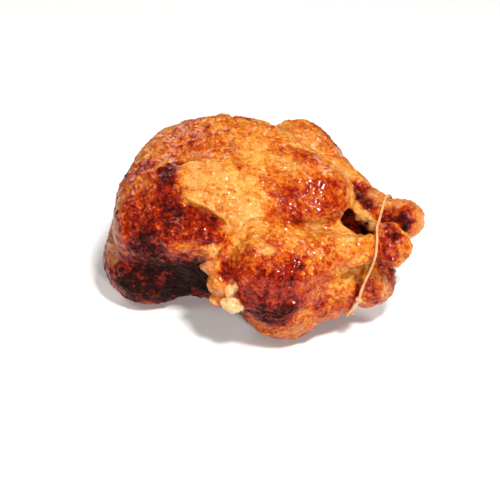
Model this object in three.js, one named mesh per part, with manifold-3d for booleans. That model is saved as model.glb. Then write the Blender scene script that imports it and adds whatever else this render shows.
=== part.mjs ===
// A small whole roast chicken lying on its back, its drumsticks tied with kitchen string.
// Millimetres, +Z up. The neck end points to -X, the tail to +X and the bird's right side to -Y.
// The origin is on the surface that the bird lies on, under the middle of its box.
import * as THREE from 'three';
import { mergeVertices } from 'three/addons/utils/BufferGeometryUtils.js';
import Module from 'manifold-3d';

// ---------- driving dimensions ----------

const ROLL_DEG = 12;            // the bird leans this far onto its right side
const ROLL_HEIGHT = 50;         // height of the axis that it leans about
const FRAME_SHIFT = [-13.3, 2.0];  // brings the middle of the box onto the origin, along X and Y

const SKIN_STEP = 5.4;          // spacing of the grid that the skin's facets come from
const STRING_RADIUS = 0.9;
const STRING_CLEARANCE = 2.1;   // from the skin to the middle of the string
const STRING_SIDES = 8;
const STRING_STEPS = 64;

// Every body part below is given in the bird's own upright frame, before it leans.
// Ellipsoids have a centre, radii and, where they are turned, angles about X, Y and Z in degrees.
const TRUNK = [
  { centre: [-9, -20, 70], radii: [56, 30, 33.5], turn: [0, -3, 4], blend: 14 },  // right breast
  { centre: [-9, 20, 70], radii: [56, 30, 33.5], turn: [0, -3, -4], blend: 14 },  // left breast
  { centre: [44, 0, 78], radii: [27, 21, 20], turn: [0, 12, 0], blend: 18 },      // end of the breast
  { centre: [-50, 1, 52], radii: [27, 42, 36], blend: 18 },                       // neck end
  { centre: [-52, -24, 30], radii: [30, 36, 28], blend: 14 },                     // right shoulder
  { centre: [-48, 20, 34], radii: [28, 34, 26], blend: 14 },                      // left shoulder
  { centre: [30, 0, 36], radii: [44, 42, 30], blend: 18 },                        // hips
  { centre: [-6, 6, 20], radii: [60, 42, 22], blend: 14 },                        // back
  { centre: [64, -4, 50], radii: [17, 20, 20], blend: 8 },                        // flap over the vent
  { centre: [76, 9, 56], radii: [12, 8, 9], blend: 3 },                           // skin left of the vent
];
const RIBCAGE = { centre: [-8, 0, 48], radii: [62, 50, 44] };
const VENT = { centre: [72, -3.5, 65], radii: [10, 4.5, 13], turn: [17, -42, 0], blend: 3 };
const VENT_BAND = { from: [68, 7, 67], to: [84, 0.5, 59], radii: [5, 4.5], blend: 3 };  // edge of the vent

const TAIL = [
  { centre: [80, -11, 33], radii: [18, 20, 20], turn: [0, -15, 0], blend: 4 },
  { centre: [60, -31, 37], radii: [22, 19, 20], blend: 3 },
  { centre: [54, 22, 26], radii: [22, 16, 18], blend: 4 },
];

const RIGHT_LEG = {
  thigh: { centre: [38, -46, 44], radii: [27, 24, 34], turn: [0, -20, 12] },
  knee: [34, -49, 61], kneeRadius: 23,
  calf: [64, -31, 64],
  shank: [59, -33, 64], ankle: [88, -20, 65],
  knuckles: [
    { centre: [98, -18, 64], radii: [8.5, 9, 9.5] },
    { centre: [94, -12, 71.5], radii: [6.5, 6.5, 5.5] },
    { centre: [102.5, -13, 66], radii: [5, 5, 6.5] },
  ],
};
const LEFT_LEG = {
  thigh: { centre: [26, 46, 44], radii: [30, 24, 34], turn: [0, -20, -12] },
  knee: [18, 49, 63], kneeRadius: 23.5,
  calf: [58, 27, 62],
  shank: [53, 29, 62], ankle: [84, 17, 62],
  knuckles: [
    { centre: [95.5, 14, 62.5], radii: [12, 10, 9.5] },
    { centre: [99, 11, 62], radii: [9, 9, 9] },
  ],
};
const CALF_RADIUS = 11;
const SHANK_RADIUS = 11.5;
const ANKLE_RADIUS = 7.5;

const RIGHT_WING = {
  shoulder: [-44, -33, 63], shoulderRadius: 25,
  elbow: [3, -49, 77],
  forearm: [3, -51, 72], wrist: [11, -65, 58],
  lumps: [
    { centre: [5, -61, 69], radii: [7, 6, 6] },
    { centre: [11, -68, 61], radii: [6, 6, 7] },
    { centre: [19, -67, 60], radii: [4.5, 5, 6] },
    { centre: [20, -71, 52.5], radii: [7, 5.5, 5.5] },
    { centre: [10, -71, 52], radii: [4, 4, 4] },
  ],
};
const LEFT_WING = {
  shoulder: [-52, 31, 57], shoulderRadius: 22,
  elbow: [-6, 47, 66],
  forearm: [-6, 49, 61], wrist: [-1, 59, 47],
  lumps: [
    { centre: [-5, 57, 58], radii: [7, 6, 6] },
    { centre: [-1, 62, 50], radii: [6, 6, 7] },
    { centre: [7, 61, 49], radii: [4.5, 5, 6] },
    { centre: [7, 64, 42], radii: [7, 5.5, 5.5] },
    { centre: [-2, 64, 42], radii: [4, 4, 4] },
  ],
};
const ELBOW_RADIUS = 9;
const FOREARM_RADIUS = 7.5;
const WRIST_RADIUS = 5.5;
const WING_LUMP_BLEND = 2;

// Points that the string passes: it starts at its knot on the tail, goes over the right ankle to
// the left one, round it, and back under both to the knot.
const STRING_ROUTE = [
  [79, -34, 36], [83, -32, 46], [88, -31, 54], [92, -29, 63], [91, -21, 75], [88, -8, 75],
  [85, 12, 72], [84, 24, 70], [84, 27, 60], [85, 17, 52], [88, -4, 53], [87, -24, 52],
];
const STRING_ENDS = [
  [[79, -34, 36], [77, -38, 32], [75, -40, 28]],
  [[79, -34, 36], [80, -37, 31], [80, -39, 27]],
];
const STRING_TIGHTENING = 60;   // how many times the loop is pulled tighter against the skin
const KNOT_RADIUS = 2.2;

// ---------- distance fields: negative inside, in millimetres ----------

const radians = THREE.MathUtils.degToRad;

function ellipsoid({ centre, radii, turn = [0, 0, 0] }) {
  const middle = new THREE.Vector3(...centre);
  const euler = new THREE.Euler(...turn.map(radians), 'ZYX');
  const unturn = new THREE.Quaternion().setFromEuler(euler).invert();
  const q = new THREE.Vector3();
  return (p) => {
    q.copy(p).sub(middle).applyQuaternion(unturn);
    q.set(q.x / radii[0], q.y / radii[1], q.z / radii[2]);
    const reach = q.length();
    q.set(q.x / radii[0], q.y / radii[1], q.z / radii[2]);
    return reach * (reach - 1) / (q.length() + 1e-9);
  };
}

// A ball of one radius joined to a ball of another by a straight taper.
function taper(from, to, fromRadius, toRadius) {
  const a = new THREE.Vector3(...from);
  const axis = new THREE.Vector3(...to).sub(a);
  const length2 = axis.lengthSq();
  const drop = fromRadius - toRadius;
  const side2 = length2 - drop * drop;
  const q = new THREE.Vector3();
  const off = new THREE.Vector3();
  return (p) => {
    q.copy(p).sub(a);
    const y = q.dot(axis);
    const z = y - length2;
    const x2 = off.copy(q).multiplyScalar(length2).addScaledVector(axis, -y).lengthSq();
    const y2 = y * y * length2;
    const z2 = z * z * length2;
    const k = Math.sign(drop) * drop * drop * x2;
    if (Math.sign(z) * side2 * z2 > k) return Math.sqrt(x2 + z2) / length2 - toRadius;
    if (Math.sign(y) * side2 * y2 < k) return Math.sqrt(x2 + y2) / length2 - fromRadius;
    return (Math.sqrt(x2 * side2 / length2) + y * drop) / length2 - fromRadius;
  };
}

function softJoin(a, b, blend) {
  const h = Math.max(blend - Math.abs(a - b), 0) / blend;
  return Math.min(a, b) - h * h * blend / 4;
}

const softCut = (a, b, blend) => -softJoin(-a, b, blend);

// Joins fields one after another, each with its own blend.
function joined(first, rest) {
  return (p) => rest.reduce((d, [field, blend]) => softJoin(d, field(p), blend), first(p));
}

// ---------- the bird ----------

function trunk() {
  const body = joined(ellipsoid(RIBCAGE), TRUNK.map((lump) => [ellipsoid(lump), lump.blend]));
  const vent = ellipsoid(VENT);
  const band = taper(VENT_BAND.from, VENT_BAND.to, ...VENT_BAND.radii);
  return (p) => softJoin(softCut(body(p), vent(p), VENT.blend), band(p), VENT_BAND.blend);
}

function leg({ thigh, knee, kneeRadius, calf, shank, ankle, knuckles }) {
  const drumstick = joined(taper(knee, calf, kneeRadius, CALF_RADIUS), [
    [taper(shank, ankle, SHANK_RADIUS, ANKLE_RADIUS), 8],
  ]);
  return joined(ellipsoid(thigh), [[drumstick, 10], ...knuckles.map((lump) => [ellipsoid(lump), 4])]);
}

function wing({ shoulder, shoulderRadius, elbow, forearm, wrist, lumps }) {
  return joined(taper(shoulder, elbow, shoulderRadius, ELBOW_RADIUS), [
    [taper(forearm, wrist, FOREARM_RADIUS, WRIST_RADIUS), 4],
    ...lumps.map((lump) => [ellipsoid(lump), WING_LUMP_BLEND]),
  ]);
}

function tail() {
  const [stub, ...lobes] = TAIL;
  return joined(ellipsoid(stub), lobes.map((lump) => [ellipsoid(lump), lump.blend]));
}

function bird() {
  const upright = joined(trunk(), [
    [leg(RIGHT_LEG), 6], [leg(LEFT_LEG), 6],
    [wing(RIGHT_WING), 5], [wing(LEFT_WING), 5],
    [tail(), 5],
  ]);
  const own = new THREE.Vector3();
  const cos = Math.cos(radians(ROLL_DEG));
  const sin = Math.sin(radians(ROLL_DEG));
  return (p) => {
    const y = p.y - FRAME_SHIFT[1];
    const z = p.z - ROLL_HEIGHT;
    own.set(p.x - FRAME_SHIFT[0], y * cos + z * sin, ROLL_HEIGHT - y * sin + z * cos);
    return upright(own);
  };
}

// From the bird's own upright frame to where it lies.
function laid([x, y, z]) {
  const cos = Math.cos(radians(ROLL_DEG));
  const sin = Math.sin(radians(ROLL_DEG));
  const up = z - ROLL_HEIGHT;
  return new THREE.Vector3(
    x + FRAME_SHIFT[0], y * cos - up * sin + FRAME_SHIFT[1], ROLL_HEIGHT + y * sin + up * cos);
}

// ---------- from a field to a closed mesh ----------

const GRADIENT_REACH = 0.4;
const MOST_MOVE = 0.3;          // a vertex that would move more than this share of a cell isn't moved

function gradient(field, p) {
  const slope = new THREE.Vector3();
  const q = new THREE.Vector3();
  for (let axis = 0; axis < 3; axis += 1) {
    q.copy(p).setComponent(axis, p.getComponent(axis) + GRADIENT_REACH);
    const ahead = field(q);
    q.setComponent(axis, p.getComponent(axis) - GRADIENT_REACH);
    slope.setComponent(axis, (ahead - field(q)) / (2 * GRADIENT_REACH));
  }
  return slope;
}

function moveToLevel(field, p, level, rounds) {
  for (let round = 0; round < rounds; round += 1) {
    const slope = gradient(field, p);
    const step = (level - field(p)) / Math.max(slope.lengthSq(), 0.25);
    p.addScaledVector(slope, step);
  }
  return p;
}

// A crease narrower than the grid is filled where two corners of a grid face are inside and the two
// between them outside, because the skin would otherwise touch itself along an edge there.
function fillTightCreases(values, count, stride, fill) {
  let filled = true;
  while (filled) {
    filled = false;
    for (let start = 0; start < values.length; start += 1) {
      for (let axis = 0; axis < 3; axis += 1) {
        const u = stride[(axis + 1) % 3];
        const v = stride[(axis + 2) % 3];
        if (start + u + v >= values.length) continue;
        const ring = [start, start + u, start + u + v, start + v];
        const inside = ring.map((corner) => values[corner] < 0);
        if (inside[0] !== inside[2] || inside[1] !== inside[3] || inside[0] === inside[1]) continue;
        const open = ring.filter((corner, i) => !inside[i]);
        values[values[open[0]] < values[open[1]] ? open[0] : open[1]] = -fill;
        filled = true;
      }
    }
  }
}

// One vertex in each grid cell that the surface crosses, and one four-sided face across each grid
// edge that it crosses, split along its shorter diagonal.
function skinOf(field, low, high, step) {
  const count = low.map((v, i) => Math.ceil((high[i] - v) / step) + 1);
  const stride = [1, count[0], count[0] * count[1]];
  const values = new Float64Array(count[0] * count[1] * count[2]);
  const corner = (i, j, k) => new THREE.Vector3(i, j, k).multiplyScalar(step).add(new THREE.Vector3(...low));
  for (let k = 0; k < count[2]; k += 1) {
    for (let j = 0; j < count[1]; j += 1) {
      for (let i = 0; i < count[0]; i += 1) {
        values[i + j * stride[1] + k * stride[2]] = field(corner(i, j, k));
      }
    }
  }

  fillTightCreases(values, count, stride, step / 50);

  const positions = [];
  const vertexOf = new Map();
  const cellVertex = (cell) => {
    if (vertexOf.has(cell)) return vertexOf.get(cell);
    const i = cell % count[0];
    const j = Math.floor(cell / stride[1]) % count[1];
    const k = Math.floor(cell / stride[2]);
    const middle = new THREE.Vector3();
    let crossings = 0;
    for (let axis = 0; axis < 3; axis += 1) {
      for (let edge = 0; edge < 4; edge += 1) {
        const offset = [0, 0, 0];
        offset[(axis + 1) % 3] = edge & 1;
        offset[(axis + 2) % 3] = edge >> 1;
        const start = cell + offset[0] * stride[0] + offset[1] * stride[1] + offset[2] * stride[2];
        const a = values[start];
        const b = values[start + stride[axis]];
        if (a < 0 === b < 0) continue;
        const at = corner(i + offset[0], j + offset[1], k + offset[2]);
        at.setComponent(axis, at.getComponent(axis) + step * a / (a - b));
        middle.add(at);
        crossings += 1;
      }
    }
    middle.divideScalar(crossings);
    const vertex = moveToLevel(field, middle.clone(), 0, 3);
    const strayed = vertex.distanceTo(middle) > MOST_MOVE * step;
    vertex.clamp(corner(i, j, k), corner(i + 1, j + 1, k + 1));
    positions.push(strayed ? middle : vertex);
    vertexOf.set(cell, positions.length - 1);
    return positions.length - 1;
  };

  const triangles = [];
  for (let start = 0; start < values.length; start += 1) {
    for (let axis = 0; axis < 3; axis += 1) {
      const end = start + stride[axis];
      if (end >= values.length || values[start] < 0 === values[end] < 0) continue;
      const u = stride[(axis + 1) % 3];
      const v = stride[(axis + 2) % 3];
      const ring = [start - u - v, start - v, start, start - u].map(cellVertex);
      if (values[start] >= 0) ring.reverse();
      const [a, b, c, d] = ring;
      const shorter = positions[a].distanceTo(positions[c]) < positions[b].distanceTo(positions[d]);
      triangles.push(...(shorter ? [a, b, c, a, c, d] : [a, b, d, b, c, d]));
    }
  }
  const geometry = new THREE.BufferGeometry();
  geometry.setAttribute('position', new THREE.Float32BufferAttribute(positions.flatMap((p) => p.toArray()), 3));
  geometry.setIndex(triangles);
  return geometry;
}

// ---------- joins and cuts ----------

const wasm = await Module();
wasm.setup();

function solidOf(geometry) {
  const bare = geometry.clone();
  bare.deleteAttribute('normal');
  bare.deleteAttribute('uv');
  const merged = mergeVertices(bare, 1e-4);
  return new wasm.Manifold(new wasm.Mesh({
    numProp: 3,
    vertProperties: new Float32Array(merged.attributes.position.array),
    triVerts: new Uint32Array(merged.index.array),
  }));
}

function geometryOf(solid) {
  const { vertProperties, triVerts, numProp } = solid.getMesh();
  const geometry = new THREE.BufferGeometry();
  const positions = [];
  for (let i = 0; i < vertProperties.length; i += numProp) positions.push(...vertProperties.slice(i, i + 3));
  geometry.setAttribute('position', new THREE.Float32BufferAttribute(positions, 3));
  geometry.setIndex([...triVerts]);
  geometry.computeVertexNormals();
  return geometry;
}

// ---------- the pieces ----------

const GRID_LOW = [-112, -92, -14];
const GRID_HIGH = [112, 92, 122];

function chickenGeometry(field) {
  const whole = solidOf(skinOf(field, GRID_LOW, GRID_HIGH, SKIN_STEP));
  const below = new THREE.BoxGeometry(400, 400, 100).translate(0, 0, -50);
  return geometryOf(whole.subtract(solidOf(below)));
}

// Pulls a closed loop of points tight, keeping each point clear of the skin.
function tightLoop(field, route) {
  const curve = new THREE.CatmullRomCurve3(route.map(laid), true);
  let points = curve.getSpacedPoints(STRING_STEPS).slice(0, STRING_STEPS);
  for (let round = 0; round < STRING_TIGHTENING; round += 1) {
    points = points.map((p, i) => {
      const before = points[(i + STRING_STEPS - 1) % STRING_STEPS];
      const after = points[(i + 1) % STRING_STEPS];
      const eased = before.clone().add(after).multiplyScalar(0.25).addScaledVector(p, 0.5);
      if (i === 0) eased.copy(p);
      return field(eased) < STRING_CLEARANCE ? moveToLevel(field, eased, STRING_CLEARANCE, 2) : eased;
    });
  }
  return points;
}

function tube(curve, steps, radius) {
  const section = new THREE.Shape();
  for (let i = 0; i < STRING_SIDES; i += 1) {
    const angle = 2 * Math.PI * i / STRING_SIDES;
    const draw = i ? 'lineTo' : 'moveTo';
    section[draw](radius * Math.cos(angle), radius * Math.sin(angle));
  }
  section.closePath();
  return new THREE.ExtrudeGeometry(section, { steps, extrudePath: curve, bevelEnabled: false });
}

function stringGeometry(field) {
  const loop = tightLoop(field, STRING_ROUTE);
  const knot = loop[0];
  let solid = solidOf(tube(new THREE.CatmullRomCurve3(loop, true), STRING_STEPS, STRING_RADIUS));
  solid = solid.add(solidOf(new THREE.SphereGeometry(KNOT_RADIUS, 10, 8).translate(...knot.toArray())));
  for (const end of STRING_ENDS) {
    const clear = end.map(laid).map((p) => (field(p) < STRING_CLEARANCE
      ? moveToLevel(field, p, STRING_CLEARANCE, 3) : p));
    clear[0] = knot.clone();
    solid = solid.add(solidOf(tube(new THREE.CatmullRomCurve3(clear), 8, STRING_RADIUS)));
  }
  return geometryOf(solid);
}

function piece(name, geometry, colour, roughness) {
  const mesh = new THREE.Mesh(geometry, new THREE.MeshStandardMaterial({ color: colour, roughness, metalness: 0 }));
  mesh.name = name;
  return mesh;
}

const field = bird();
const roastChicken = new THREE.Group();
roastChicken.add(piece('chicken', chickenGeometry(field), 0xb5591c, 0.35));
roastChicken.add(piece('leg_string', stringGeometry(field), 0xd9b27c, 0.8));

export default roastChicken;
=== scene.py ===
"""A small roast chicken on its back, tied with string: its fine skin, its browning with some painted shade
and highlight, and its string.

Lengths in the anatomy are millimetres in the bird's own upright frame: the neck end points to -X, the
tail to +X and the bird's right side to -Y. What is made from it is in metres, in the frame's own place.
"""
import math

import bpy
import numpy as np
from mathutils import Euler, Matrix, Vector


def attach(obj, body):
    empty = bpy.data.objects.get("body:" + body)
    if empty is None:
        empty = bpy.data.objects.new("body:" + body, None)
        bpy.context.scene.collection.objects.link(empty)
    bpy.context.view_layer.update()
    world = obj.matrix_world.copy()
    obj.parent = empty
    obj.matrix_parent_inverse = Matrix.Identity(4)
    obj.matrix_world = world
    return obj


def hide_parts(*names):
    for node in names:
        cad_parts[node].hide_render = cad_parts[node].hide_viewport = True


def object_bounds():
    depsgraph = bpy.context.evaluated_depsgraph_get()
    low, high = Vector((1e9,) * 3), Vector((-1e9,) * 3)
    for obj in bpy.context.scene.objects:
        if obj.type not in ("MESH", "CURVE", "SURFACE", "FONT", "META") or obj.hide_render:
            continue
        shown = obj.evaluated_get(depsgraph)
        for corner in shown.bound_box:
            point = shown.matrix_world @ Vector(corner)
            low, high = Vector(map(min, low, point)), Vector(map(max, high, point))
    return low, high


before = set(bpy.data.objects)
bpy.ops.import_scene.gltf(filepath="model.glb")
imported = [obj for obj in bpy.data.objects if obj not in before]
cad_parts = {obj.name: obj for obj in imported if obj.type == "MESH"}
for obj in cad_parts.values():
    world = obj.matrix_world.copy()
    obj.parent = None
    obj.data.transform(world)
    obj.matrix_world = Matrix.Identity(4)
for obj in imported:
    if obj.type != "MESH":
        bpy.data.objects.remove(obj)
CAD_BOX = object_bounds()

MM = 0.001

# ---------- the anatomy: the same named sizes as the solid's ----------

ROLL = math.radians(12)
ROLL_HEIGHT = 50.0
FRAME_SHIFT = (-13.3, 2.0)

TRUNK = [
    dict(centre=(-9, -20, 70), radii=(56, 30, 33.5), turn=(0, -3, 4), blend=14),   # right breast
    dict(centre=(-9, 20, 70), radii=(56, 30, 33.5), turn=(0, -3, -4), blend=14),   # left breast
    dict(centre=(44, 0, 78), radii=(27, 21, 20), turn=(0, 12, 0), blend=18),       # end of the breast
    dict(centre=(-50, 1, 52), radii=(27, 42, 36), blend=18),                       # neck end
    dict(centre=(-52, -24, 30), radii=(30, 36, 28), blend=14),                     # right shoulder
    dict(centre=(-48, 20, 34), radii=(28, 34, 26), blend=14),                      # left shoulder
    dict(centre=(30, 0, 36), radii=(44, 42, 30), blend=18),                        # hips
    dict(centre=(-6, 6, 20), radii=(60, 42, 22), blend=14),                        # back
    dict(centre=(64, -4, 50), radii=(17, 20, 20), blend=8),                        # flap over the vent
    dict(centre=(76, 9, 56), radii=(12, 8, 9), blend=3),                           # skin left of the vent
]
RIBCAGE = dict(centre=(-8, 0, 48), radii=(62, 50, 44))
VENT = dict(centre=(72, -3.5, 65), radii=(10, 4.5, 13), turn=(17, -42, 0))
VENT_BLEND = 3
VENT_BAND = dict(start=(68, 7, 67), end=(84, 0.5, 59), start_radius=5, end_radius=4.5)   # edge of the vent

TAIL = [
    dict(centre=(80, -11, 33), radii=(18, 20, 20), turn=(0, -15, 0), blend=4),
    dict(centre=(60, -31, 37), radii=(22, 19, 20), blend=3),
    dict(centre=(54, 22, 26), radii=(22, 16, 18), blend=4),
]

RIGHT_LEG = dict(
    thigh=dict(centre=(38, -46, 44), radii=(27, 24, 34), turn=(0, -20, 12)),
    knee=(34, -49, 61), knee_radius=23, calf=(64, -31, 64), shank=(59, -33, 64), ankle=(88, -20, 65),
    knuckles=[
        dict(centre=(98, -18, 64), radii=(8.5, 9, 9.5)),
        dict(centre=(94, -12, 71.5), radii=(6.5, 6.5, 5.5)),
        dict(centre=(102.5, -13, 66), radii=(5, 5, 6.5)),
    ],
)
LEFT_LEG = dict(
    thigh=dict(centre=(26, 46, 44), radii=(30, 24, 34), turn=(0, -20, -12)),
    knee=(18, 49, 63), knee_radius=23.5, calf=(58, 27, 62), shank=(53, 29, 62), ankle=(84, 17, 62),
    knuckles=[
        dict(centre=(95.5, 14, 62.5), radii=(12, 10, 9.5)),
        dict(centre=(99, 11, 62), radii=(9, 9, 9)),
    ],
)
CALF_RADIUS = 11
SHANK_RADIUS = 11.5
ANKLE_RADIUS = 7.5
SHANK_BLEND, DRUMSTICK_BLEND, KNUCKLE_BLEND = 8, 10, 4

RIGHT_WING = dict(
    shoulder=(-44, -33, 63), shoulder_radius=25, elbow=(3, -49, 77),
    forearm=(3, -51, 72), wrist=(11, -65, 58),
    lumps=[
        dict(centre=(5, -61, 69), radii=(7, 6, 6)),
        dict(centre=(11, -68, 61), radii=(6, 6, 7)),
        dict(centre=(19, -67, 60), radii=(4.5, 5, 6)),
        dict(centre=(20, -71, 52.5), radii=(7, 5.5, 5.5)),
        dict(centre=(10, -71, 52), radii=(4, 4, 4)),
    ],
)
LEFT_WING = dict(
    shoulder=(-52, 31, 57), shoulder_radius=22, elbow=(-6, 47, 66),
    forearm=(-6, 49, 61), wrist=(-1, 59, 47),
    lumps=[
        dict(centre=(-5, 57, 58), radii=(7, 6, 6)),
        dict(centre=(-1, 62, 50), radii=(6, 6, 7)),
        dict(centre=(7, 61, 49), radii=(4.5, 5, 6)),
        dict(centre=(7, 64, 42), radii=(7, 5.5, 5.5)),
        dict(centre=(-2, 64, 42), radii=(4, 4, 4)),
    ],
)
ELBOW_RADIUS = 9
FOREARM_RADIUS = 7.5
WRIST_RADIUS = 5.5
FOREARM_BLEND, WING_LUMP_BLEND = 4, 2

STRING_ROUTE = [
    (79, -34, 36), (83, -32, 46), (88, -31, 54), (92, -29, 63), (91, -21, 75), (88, -8, 75),
    (85, 12, 72), (84, 24, 70), (84, 27, 60), (85, 17, 52), (88, -4, 53), (87, -24, 52),
]
STRING_ENDS = [[(79, -34, 36), (77, -38, 32), (75, -40, 28)], [(79, -34, 36), (80, -37, 31), (80, -39, 27)]]

# ---------- distance fields: negative inside ----------


def turned(angles):
    return np.array(Euler([math.radians(a) for a in angles]).to_matrix())


def ellipsoid(centre, radii, turn=(0, 0, 0), blend=0):
    """A lump's distance field. Its blend is for whatever joins it to another, and isn't used here."""
    middle, radii, axes = np.array(centre, float), np.array(radii, float), turned(turn)

    def field(p):
        q = (p - middle) @ axes / radii
        reach = np.linalg.norm(q, axis=1)
        return reach * (reach - 1) / (np.linalg.norm(q / radii, axis=1) + 1e-9)
    return field


def taper(start, end, start_radius, end_radius):
    """A ball of one radius joined to a ball of another by a straight taper."""
    start = np.array(start, float)
    axis = np.array(end, float) - start
    length2 = axis @ axis
    drop = start_radius - end_radius
    side2 = length2 - drop * drop

    def field(p):
        q = p - start
        y = q @ axis
        z = y - length2
        x2 = ((q * length2 - y[:, None] * axis) ** 2).sum(1)
        y2, z2 = y * y * length2, z * z * length2
        k = np.sign(drop) * drop * drop * x2
        side = (np.sqrt(x2 * side2 / length2) + y * drop) / length2 - start_radius
        near_start = np.sqrt(x2 + y2) / length2 - start_radius
        near_end = np.sqrt(x2 + z2) / length2 - end_radius
        d = np.where(np.sign(y) * side2 * y2 < k, near_start, side)
        return np.where(np.sign(z) * side2 * z2 > k, near_end, d)
    return field


def soft_join(a, b, blend):
    h = np.maximum(blend - np.abs(a - b), 0) / blend
    return np.minimum(a, b) - h * h * blend / 4


def soft_cut(a, b, blend):
    return -soft_join(-a, b, blend)


def joined(first, rest):
    def field(p):
        d = first(p)
        for other, blend in rest:
            d = soft_join(d, other(p), blend)
        return d
    return field


def blended(lumps):
    return [(ellipsoid(**lump), lump["blend"]) for lump in lumps]


def leg(thigh, knee, knee_radius, calf, shank, ankle, knuckles):
    drumstick = joined(taper(knee, calf, knee_radius, CALF_RADIUS),
                       [(taper(shank, ankle, SHANK_RADIUS, ANKLE_RADIUS), SHANK_BLEND)])
    return joined(ellipsoid(**thigh), [(drumstick, DRUMSTICK_BLEND)]
                  + [(ellipsoid(**knuckle), KNUCKLE_BLEND) for knuckle in knuckles])


def wing(shoulder, shoulder_radius, elbow, forearm, wrist, lumps):
    joints = [(ellipsoid(**lump), WING_LUMP_BLEND) for lump in lumps]
    return joined(taper(shoulder, elbow, shoulder_radius, ELBOW_RADIUS),
                  [(taper(forearm, wrist, FOREARM_RADIUS, WRIST_RADIUS), FOREARM_BLEND)] + joints)


VENT_SHAPE = ellipsoid(**VENT)


def trunk():
    body, band = joined(ellipsoid(**RIBCAGE), blended(TRUNK)), taper(**VENT_BAND)
    return lambda p: soft_join(soft_cut(body(p), VENT_SHAPE(p), VENT_BLEND), band(p), VENT_BLEND)


BODY_PARTS = {
    "trunk": trunk(),
    "right_leg": leg(**RIGHT_LEG), "left_leg": leg(**LEFT_LEG),
    "right_wing": wing(**RIGHT_WING), "left_wing": wing(**LEFT_WING),
    "tail": joined(ellipsoid(**TAIL[0]), blended(TAIL[1:])),
}
PART_BLEND = {"right_leg": 6, "left_leg": 6, "right_wing": 5, "left_wing": 5, "tail": 5}


def upright(p):
    """From where the bird lies to its own upright frame."""
    y, z = p[:, 1] - FRAME_SHIFT[1], p[:, 2] - ROLL_HEIGHT
    cos, sin = math.cos(ROLL), math.sin(ROLL)
    return np.stack([p[:, 0] - FRAME_SHIFT[0], y * cos + z * sin, ROLL_HEIGHT - y * sin + z * cos], 1)


def laid(p):
    """From the bird's own upright frame to where it lies."""
    p = np.atleast_2d(np.array(p, float))
    y, z = p[:, 1], p[:, 2] - ROLL_HEIGHT
    cos, sin = math.cos(ROLL), math.sin(ROLL)
    return np.stack([p[:, 0] + FRAME_SHIFT[0], y * cos - z * sin + FRAME_SHIFT[1],
                     ROLL_HEIGHT + y * sin + z * cos], 1)


def bird(p):
    own = upright(p)
    d = BODY_PARTS["trunk"](own)
    for name, blend in PART_BLEND.items():
        d = soft_join(d, BODY_PARTS[name](own), blend)
    return np.maximum(d, -p[:, 2])


def gradient(field, p, reach=0.3):
    slope = np.zeros_like(p)
    for axis in range(3):
        step = np.zeros(3)
        step[axis] = reach
        slope[:, axis] = (field(p + step) - field(p - step)) / (2 * reach)
    return slope


def move_to_level(field, p, level=0.0, rounds=3):
    for _ in range(rounds):
        slope = gradient(field, p)
        p = p + slope * ((level - field(p)) / np.maximum((slope ** 2).sum(1), 0.25))[:, None]
    return p


# ---------- noise, made from seeded tables ----------

NOISE_TABLE = 32
NOISE_TURN = turned((31, 17, 43))     # keeps the noise's own grid out of line with the bird
NOISE_STRETCH = 1.4                   # brings its range back to about -1 to 1


def noise_table(seed):
    return np.random.default_rng(seed).uniform(-1, 1, (NOISE_TABLE,) * 3)


def grain(p, size, seed):
    """Smooth noise from about -1 to 1, whose lumps are about `size` across."""
    q = p @ NOISE_TURN / size
    cell = np.floor(q).astype(int)
    t = q - cell
    t = t * t * t * (t * (t * 6 - 15) + 10)
    table = noise_table(seed)
    total = np.zeros(len(p))
    for corner in np.ndindex(2, 2, 2):
        at = (cell + corner) % NOISE_TABLE
        weight = np.where(corner, t, 1 - t).prod(1)
        total += weight * table[at[:, 0], at[:, 1], at[:, 2]]
    return NOISE_STRETCH * total


def layered(p, size, seed, layers=3):
    total = sum(grain(p, size / 2 ** k, seed + k) / 2 ** k for k in range(layers))
    return total / (2 - 2 ** (1 - layers))


def wandering(p, reach, size, seed):
    """The points moved about by smooth noise, so that what is painted at them has ragged edges."""
    return p + reach * np.stack([layered(p, size, seed + 10 * k, 3) for k in range(3)], 1)


def spots(p, size, seed):
    """How near each point is to the nearest of scattered centres: 1 at a centre, 0 halfway to the next."""
    q = p @ NOISE_TURN / size
    cell = np.floor(q).astype(int)
    jitter = np.random.default_rng(seed).uniform(0.15, 0.85, (NOISE_TABLE,) * 3 + (3,))
    nearest = np.full(len(p), 9.0)
    for corner in np.ndindex(3, 3, 3):
        at = cell + np.array(corner) - 1
        home = at % NOISE_TABLE
        centre = at + jitter[home[:, 0], home[:, 1], home[:, 2]]
        nearest = np.minimum(nearest, ((q - centre) ** 2).sum(1))
    return np.clip(1 - np.sqrt(nearest) / 0.55, 0, 1)


def step_up(x, low, high):
    t = np.clip((x - low) / (high - low), 0, 1)
    return t * t * (3 - 2 * t)


def blob(p, centre, radii):
    """1 at the centre, fading to nothing at about 1.5 radii."""
    q = (p - np.array(centre, float)) / np.array(radii, float)
    return np.exp(-(q ** 2).sum(1))


def along(p, points):
    """Distance from a line of points, and how far along it, from 0 to 1, the nearest place is."""
    points = np.array(points, float)
    starts, steps = points[:-1], np.diff(points, axis=0)
    lengths = np.linalg.norm(steps, axis=1)
    before = np.concatenate([[0], np.cumsum(lengths)])
    best, where = np.full(len(p), 1e9), np.zeros(len(p))
    for k in range(len(steps)):
        t = np.clip((p - starts[k]) @ steps[k] / lengths[k] ** 2, 0, 1)
        d = np.linalg.norm(p - starts[k] - t[:, None] * steps[k], axis=1)
        nearer = d < best
        best[nearer] = d[nearer]
        where[nearer] = ((before[k] + t * lengths[k]) / before[-1])[nearer]
    return best, where


# ---------- lines on the skin ----------

CURVE_STEPS = 24            # steps from one given point of a smooth line to the next
FOLD_POINTS = 28


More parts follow.
